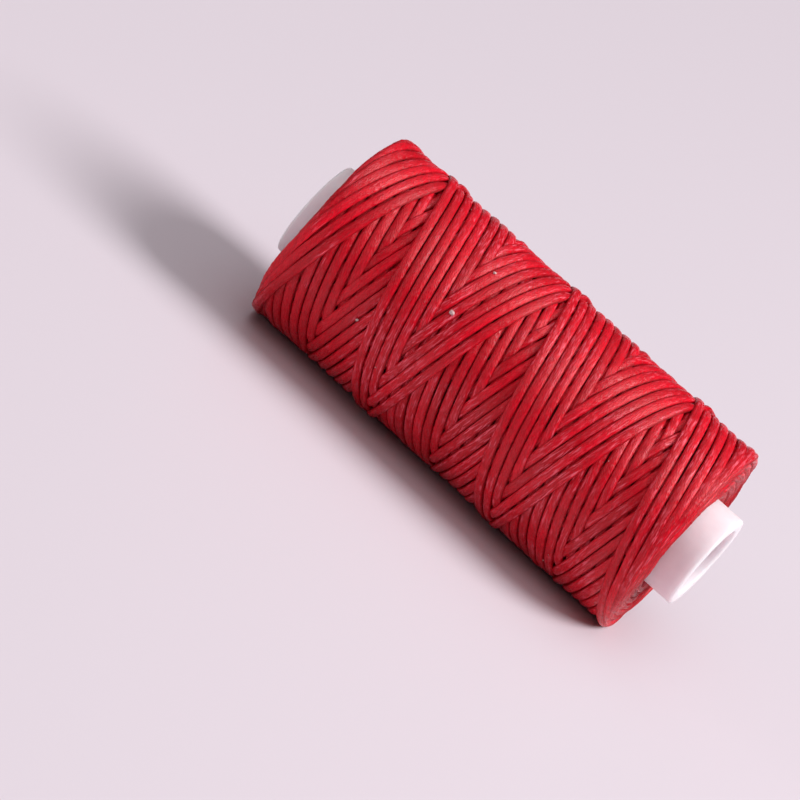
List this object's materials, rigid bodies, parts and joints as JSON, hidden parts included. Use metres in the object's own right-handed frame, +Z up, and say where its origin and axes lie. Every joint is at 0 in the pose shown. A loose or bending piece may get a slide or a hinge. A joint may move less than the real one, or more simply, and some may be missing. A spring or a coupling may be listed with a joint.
{
  "type": "waxed thread spool",
  "caption": "Flangeless plastic core tube holding a cross-wound cylinder of flat waxed thread, with its loose end free, for hand-stitching leather.",
  "frame": {"origin": "on the surface the spool lies on, straight below the middle of its core tube", "axes": "+X along the spool's axis towards the end where the tube stands out further, +Z up"},
  "size_m": [0.0646, 0.028, 0.028],
  "materials": {
    "white_plastic": "slightly translucent moulded white plastic, satin",
    "waxed_thread": "flat waxed polyester thread, red, with a soft waxy sheen"
  },
  "bodies": {
    "root": {"core_tube": "white_plastic", "wound_thread": "waxed_thread", "thread_tail": "waxed_thread"}
  },
  "joints": []
}
